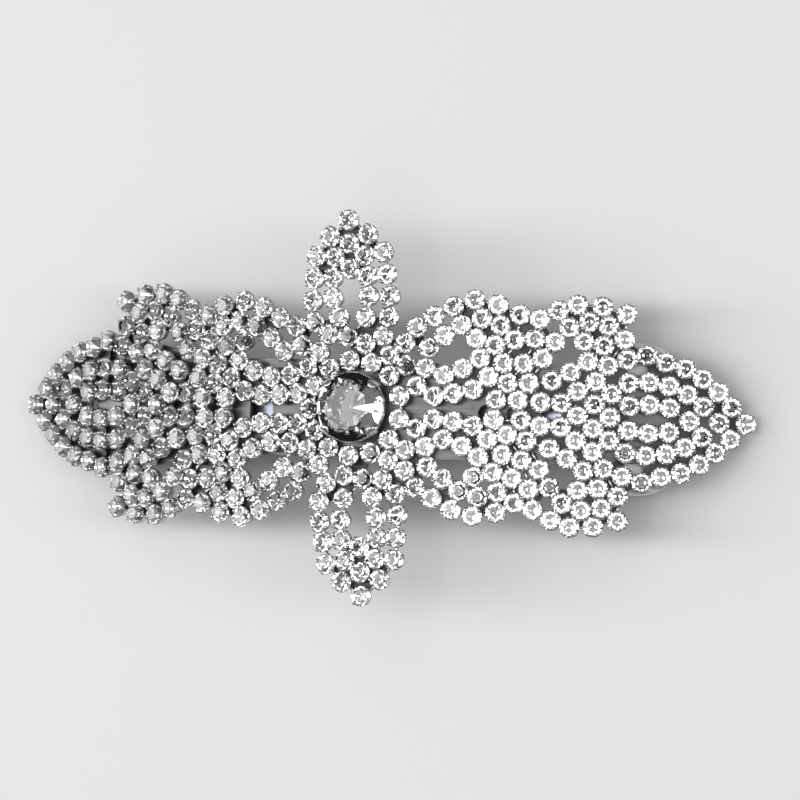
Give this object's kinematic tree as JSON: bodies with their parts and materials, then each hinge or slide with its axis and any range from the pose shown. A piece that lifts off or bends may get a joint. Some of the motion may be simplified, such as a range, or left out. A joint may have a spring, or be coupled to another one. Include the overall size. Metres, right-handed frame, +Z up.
{
  "type": "rhinestone hair clip",
  "caption": "Domed flower-and-leaf spray of crystals in linked metal cups, soldered on a sprung steel barrette with a hinged clasp arm and pinch latch.",
  "frame": {"origin": "on the surface the clip lies on, under the middle of its outline", "axes": "+X along the clip towards the latch end, +Y across the clip, +Z up, the way the crystals face"},
  "size_m": [0.1128, 0.0576, 0.0212],
  "materials": {
    "crystal_rows": "foil-backed faceted clear crystals in bright silver-plated cups",
    "large_crystal": "foil-backed faceted clear crystal",
    "silver_plate": "bright silver plate",
    "satin_steel": "satin pressed steel",
    "spring_steel": "blue-grey spring steel"
  },
  "bodies": {
    "clip_base": {"base_plate": "satin_steel", "centre_ring": "crystal_rows", "centre_setting": "silver_plate", "centre_stone": "large_crystal", "corner_lower_left_inner": "crystal_rows", "corner_lower_left_outer": "crystal_rows", "corner_lower_right_inner": "crystal_rows", "corner_lower_right_outer": "crystal_rows", "corner_upper_left_inner": "crystal_rows", "corner_upper_left_outer": "crystal_rows", "corner_upper_right_inner": "crystal_rows", "corner_upper_right_outer": "crystal_rows", "hinge_bracket": "satin_steel", "hinge_pin": "satin_steel", "latch_rivet_lower": "satin_steel", "latch_rivet_upper": "satin_steel", "latch_spring": "spring_steel", "leaf_left_inner": "crystal_rows", "leaf_left_middle": "crystal_rows", "leaf_left_outer": "crystal_rows", "leaf_right_inner": "crystal_rows", "leaf_right_middle": "crystal_rows", "leaf_right_outer": "crystal_rows", "petal_bottom_inner": "crystal_rows", "petal_bottom_outer": "crystal_rows", "petal_lower_left_inner": "crystal_rows", "petal_lower_left_outer": "crystal_rows", "petal_lower_right_inner": "crystal_rows", "petal_lower_right_outer": "crystal_rows", "petal_top_inner": "crystal_rows", "petal_top_outer": "crystal_rows", "petal_upper_left_inner": "crystal_rows", "petal_upper_left_outer": "crystal_rows", "petal_upper_right_inner": "crystal_rows", "petal_upper_right_outer": "crystal_rows", "root_lower_left": "crystal_rows", "root_lower_right": "crystal_rows", "root_upper_left": "crystal_rows", "root_upper_right": "crystal_rows", "seam_lower_left": "crystal_rows", "seam_lower_right": "crystal_rows", "seam_upper_left": "crystal_rows", "seam_upper_right": "crystal_rows", "tension_spring": "spring_steel"},
    "clasp_arm": {"clasp_arm": "satin_steel"},
    "latch_tab_upper": {"latch_tab_upper": "satin_steel"},
    "latch_tab_lower": {"latch_tab_lower": "satin_steel"}
  },
  "joints": [
    {"name": "clasp_hinge", "type": "hinge", "parent": "clip_base", "child": "clasp_arm", "pos_m": [-0.03868, 0, 0.00363], "axis": [0, 1, 0], "range_deg": [0, 75]},
    {"name": "tab_upper_pinch", "type": "hinge", "parent": "clip_base", "child": "latch_tab_upper", "pos_m": [0.03487, 0.0047, 0.00851], "axis": [-0.3258, 0, -0.9455], "range_deg": [0, 5], "stiffness_Nm_per_rad": 0.02},
    {"name": "tab_lower_pinch", "type": "hinge", "parent": "clip_base", "child": "latch_tab_lower", "pos_m": [0.03487, -0.0047, 0.00851], "axis": [0.3258, 0, 0.9455], "range_deg": [0, 5], "stiffness_Nm_per_rad": 0.02}
  ],
  "couplings": [
    {"joint": "tab_lower_pinch", "follows": "tab_upper_pinch", "ratio": 1}
  ]
}
